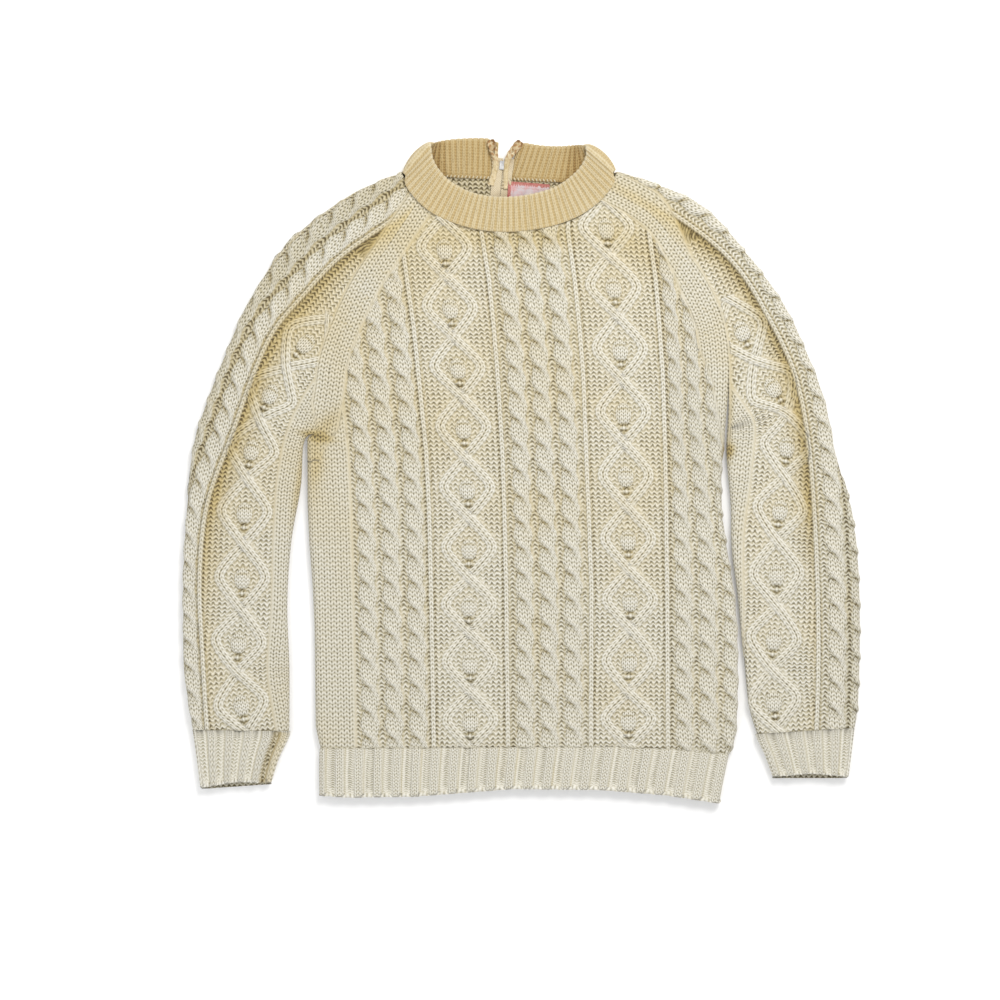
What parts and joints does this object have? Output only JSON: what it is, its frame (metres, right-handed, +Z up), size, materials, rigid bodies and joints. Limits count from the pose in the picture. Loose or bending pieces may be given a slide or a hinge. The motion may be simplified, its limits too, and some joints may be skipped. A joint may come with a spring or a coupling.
{
  "type": "cable knit sweater",
  "caption": "Aran style cable knit pullover laid flat, raglan sleeves, ribbed hem and cuffs, folded rib collar with a short zip at the back neck.",
  "frame": {"origin": "middle of the sweater's bounding rectangle, on the surface that it lies on", "axes": "+X across the sweater towards the wearer's left sleeve, +Y from the hem to the neck, +Z up, out of the front"},
  "size_m": [0.7132, 0.6999, 0.0153],
  "materials": {
    "cream_knit": "thick cream wool, cable knit",
    "golden_rib": "finer rib, yellowed to a golden cream",
    "zip_tape": "woven beige tape",
    "slider_metal": "dull grey cast metal",
    "woven_label": "satin woven, bare, with a red border"
  },
  "bodies": {
    "sweater": {"front_panel": "cream_knit", "back_panel": "cream_knit", "hem_rib_front": "cream_knit", "hem_rib_back": "cream_knit", "sleeve_left": "cream_knit", "sleeve_right": "cream_knit", "cuff_left": "cream_knit", "cuff_right": "cream_knit", "collar": "golden_rib", "zip_tape_left": "zip_tape", "zip_tape_right": "zip_tape", "zip_slider": "slider_metal", "neck_label": "woven_label"},
    "pull_tab": {"zip_pull": "slider_metal"}
  },
  "joints": [
    {"name": "pull_tab_swing", "type": "hinge", "parent": "sweater", "child": "pull_tab", "pos_m": [-0.01816, 0.32101, 0.00305], "axis": [0.9945, -0.1045, 0], "range_deg": [0, 175]}
  ]
}
